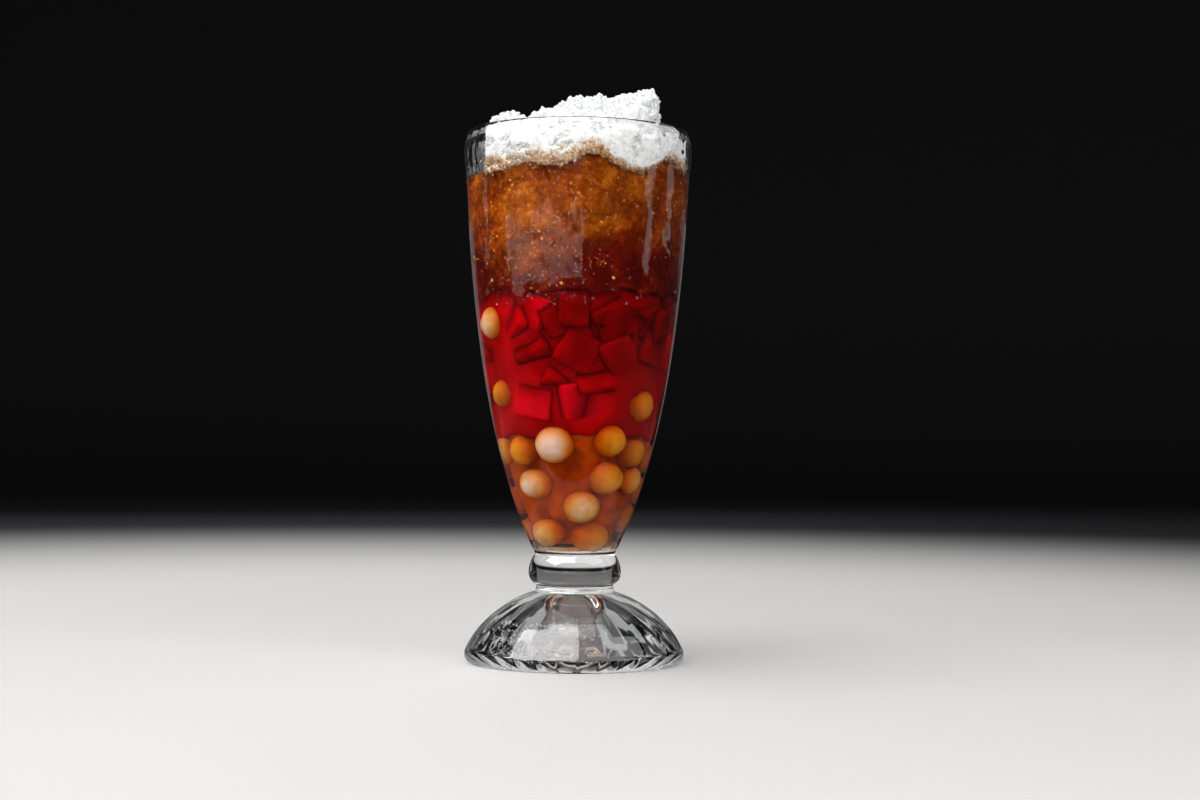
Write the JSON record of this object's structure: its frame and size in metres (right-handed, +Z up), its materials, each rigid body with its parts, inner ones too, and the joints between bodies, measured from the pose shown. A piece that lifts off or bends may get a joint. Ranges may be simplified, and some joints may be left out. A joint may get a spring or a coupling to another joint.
{
  "type": "sago and gulaman drink",
  "caption": "Tall footed soda glass of sago pearls, red gulaman jelly cubes and brown syrup slush under a heap of white shaved ice.",
  "frame": {"origin": "centre of the footprint, on the surface that the glass stands on", "axes": "+Z up along the glass's axis, -Y towards the front that the picture shows, +X to the right as seen from the front"},
  "size_m": [0.0814, 0.0814, 0.2056],
  "materials": {
    "clear_glass": "clear, smooth and fire-polished",
    "sago": "wet, milky tan and slightly see-through",
    "gulaman": "wet, see-through deep red jelly",
    "syrup_slush": "wet brown syrup with fine ice grains in it",
    "ice": "white, crumbly and sparkling, with a few syrup stains"
  },
  "bodies": {
    "root": {"glass": "clear_glass", "sago_pearls": "sago", "sago_pearl_1": "sago", "sago_pearl_2": "sago", "sago_pearl_3": "sago", "sago_pearl_4": "sago", "gulaman_cubes": "gulaman", "brown_slush": "syrup_slush", "shaved_ice": "ice"}
  },
  "joints": []
}
